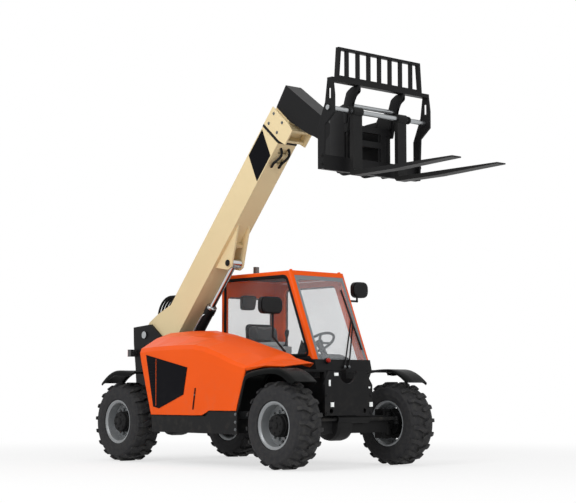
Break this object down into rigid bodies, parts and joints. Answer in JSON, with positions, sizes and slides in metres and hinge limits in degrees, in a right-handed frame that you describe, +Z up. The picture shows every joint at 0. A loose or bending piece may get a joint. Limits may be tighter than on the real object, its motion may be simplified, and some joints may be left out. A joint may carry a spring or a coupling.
{
  "type": "compact telehandler",
  "caption": "Compact telescopic handler with a raised boom, fork carriage, side cab, engine hood and steered wheels.",
  "frame": {"origin": "on the ground midway between the axles and between the left and right wheels", "axes": "+X forward, +Y to the machine's left, +Z up"},
  "size_m": [5.0838, 2.025, 3.9562],
  "materials": {
    "orange_paint": "satin",
    "tan_paint": "satin",
    "black_paint": "satin",
    "black_plastic": "matte",
    "silver_paint": "satin",
    "bare_steel": "satin",
    "rod_chrome": "gloss",
    "cast_axle": "matte",
    "tread_rubber": "matte",
    "hose_rubber": "matte",
    "window_glass": "gloss",
    "seat_cloth": "matte",
    "lamp_lens": "gloss"
  },
  "bodies": {
    "chassis": {"chassis_frame": "black_paint", "engine_block": "bare_steel", "side_tank": "black_plastic", "axles": "cast_axle", "fenders": "black_plastic", "cab_tub": "black_paint", "cab_frame": "orange_paint", "cab_roof": "black_plastic", "windscreen": "window_glass", "cab_glass": "window_glass", "dash": "black_plastic", "steering_wheel": "black_plastic", "seat_base": "black_plastic", "seat": "seat_cloth", "side_console": "black_plastic", "mirrors": "black_plastic", "wiper": "black_plastic", "lamps": "lamp_lens", "boom_hoses": "hose_rubber"},
    "hood_body": {"hood": "orange_paint", "hood_panel": "black_plastic"},
    "door_body": {"door": "orange_paint", "door_glass": "window_glass"},
    "boom_body": {"boom_outer": "tan_paint"},
    "boom_slide": {"boom_inner": "tan_paint", "boom_head": "black_paint"},
    "level_body": {"level_link": "bare_steel"},
    "carriage_body": {"carriage": "black_paint", "load_guard": "black_paint", "fork_shaft": "bare_steel", "forks": "black_paint"},
    "lift_barrel_body": {"lift_barrel": "black_paint"},
    "lift_rod_body": {"lift_rod": "rod_chrome"},
    "steer_rod_front_body": {"steer_rod_front": "rod_chrome"},
    "steer_rod_rear_body": {"steer_rod_rear": "rod_chrome"},
    "knuckle_front_right_body": {"knuckle_front_right": "cast_axle"},
    "wheel_front_right": {"tyre_front_right": "tread_rubber", "rim_front_right": "silver_paint", "hub_front_right": "black_paint"},
    "knuckle_front_left_body": {"knuckle_front_left": "cast_axle"},
    "wheel_front_left": {"tyre_front_left": "tread_rubber", "rim_front_left": "silver_paint", "hub_front_left": "black_paint"},
    "knuckle_rear_right_body": {"knuckle_rear_right": "cast_axle"},
    "wheel_rear_right": {"tyre_rear_right": "tread_rubber", "rim_rear_right": "silver_paint", "hub_rear_right": "black_paint"},
    "knuckle_rear_left_body": {"knuckle_rear_left": "cast_axle"},
    "wheel_rear_left": {"tyre_rear_left": "tread_rubber", "rim_rear_left": "silver_paint", "hub_rear_left": "black_paint"}
  },
  "joints": [
    {"name": "boom_lift", "type": "hinge", "parent": "chassis", "child": "boom_body", "pos_m": [-1.65, -0.1, 1.36], "axis": [0, -1, 0], "range_deg": [-45.5, 16], "deforming": ["boom_hoses"]},
    {"name": "boom_extend", "type": "slide", "parent": "boom_body", "child": "boom_slide", "axis": [0.6561, 0, 0.7547], "range_m": [0, 2]},
    {"name": "carriage_level", "type": "hinge", "parent": "boom_slide", "child": "level_body", "pos_m": [1.44179, -0.1, 3.15619], "axis": [0, 1, 0], "range_deg": [-45.5, 16]},
    {"name": "carriage_tilt", "type": "hinge", "parent": "level_body", "child": "carriage_body", "pos_m": [1.44179, -0.1, 3.15619], "axis": [0, 1, 0], "range_deg": [-12, 60]},
    {"name": "lift_swing", "type": "hinge", "parent": "chassis", "child": "lift_barrel_body", "pos_m": [-1.33, -0.1, 0.85], "axis": [0, -1, 0], "range_deg": [-45.05, 15.84]},
    {"name": "lift_stroke", "type": "slide", "parent": "lift_barrel_body", "child": "lift_rod_body", "axis": [0.6509, 0, 0.7592], "range_m": [-0.4487, 0.1578]},
    {"name": "hood_lid", "type": "hinge", "parent": "chassis", "child": "hood_body", "pos_m": [-0.3, -0.296, 1.34], "axis": [-1, 0, 0], "range_deg": [0, 60]},
    {"name": "cab_door", "type": "hinge", "parent": "chassis", "child": "door_body", "pos_m": [-0.606, 0.884, 1.18], "axis": [0, 0, 1], "range_deg": [0, 88]},
    {"name": "steer_front_right", "type": "hinge", "parent": "chassis", "child": "knuckle_front_right_body", "pos_m": [1.265, -0.61, 0.415], "axis": [0, 0, 1], "range_deg": [-32, 32]},
    {"name": "spin_front_right", "type": "hinge", "parent": "knuckle_front_right_body", "child": "wheel_front_right", "pos_m": [1.265, -0.7525, 0.415], "axis": [0, 1, 0], "continuous": true},
    {"name": "steer_front_left", "type": "hinge", "parent": "chassis", "child": "knuckle_front_left_body", "pos_m": [1.265, 0.61, 0.415], "axis": [0, 0, 1], "range_deg": [-32, 32]},
    {"name": "spin_front_left", "type": "hinge", "parent": "knuckle_front_left_body", "child": "wheel_front_left", "pos_m": [1.265, 0.7525, 0.415], "axis": [0, 1, 0], "continuous": true},
    {"name": "steer_rod_front", "type": "slide", "parent": "chassis", "child": "steer_rod_front_body", "axis": [0, 1, 0], "range_m": [-0.0732, 0.0732]},
    {"name": "steer_rear_right", "type": "hinge", "parent": "chassis", "child": "knuckle_rear_right_body", "pos_m": [-1.265, -0.61, 0.415], "axis": [0, 0, 1], "range_deg": [-32, 32]},
    {"name": "spin_rear_right", "type": "hinge", "parent": "knuckle_rear_right_body", "child": "wheel_rear_right", "pos_m": [-1.265, -0.7525, 0.415], "axis": [0, 1, 0], "continuous": true},
    {"name": "steer_rear_left", "type": "hinge", "parent": "chassis", "child": "knuckle_rear_left_body", "pos_m": [-1.265, 0.61, 0.415], "axis": [0, 0, 1], "range_deg": [-32, 32]},
    {"name": "spin_rear_left", "type": "hinge", "parent": "knuckle_rear_left_body", "child": "wheel_rear_left", "pos_m": [-1.265, 0.7525, 0.415], "axis": [0, 1, 0], "continuous": true},
    {"name": "steer_rod_rear", "type": "slide", "parent": "chassis", "child": "steer_rod_rear_body", "axis": [0, 1, 0], "range_m": [-0.0732, 0.0732]}
  ],
  "couplings": [
    {"joint": "carriage_level", "follows": "boom_lift", "ratio": 1},
    {"joint": "lift_swing", "follows": "boom_lift", "ratio": 0.99},
    {"joint": "lift_stroke", "follows": "boom_lift", "m_per_rad": 0.565},
    {"joint": "steer_front_left", "follows": "steer_front_right", "ratio": 1},
    {"joint": "steer_rod_front", "follows": "steer_front_right", "m_per_rad": 0.131},
    {"joint": "steer_rear_left", "follows": "steer_rear_right", "ratio": 1},
    {"joint": "steer_rod_rear", "follows": "steer_rear_right", "m_per_rad": -0.131}
  ]
}
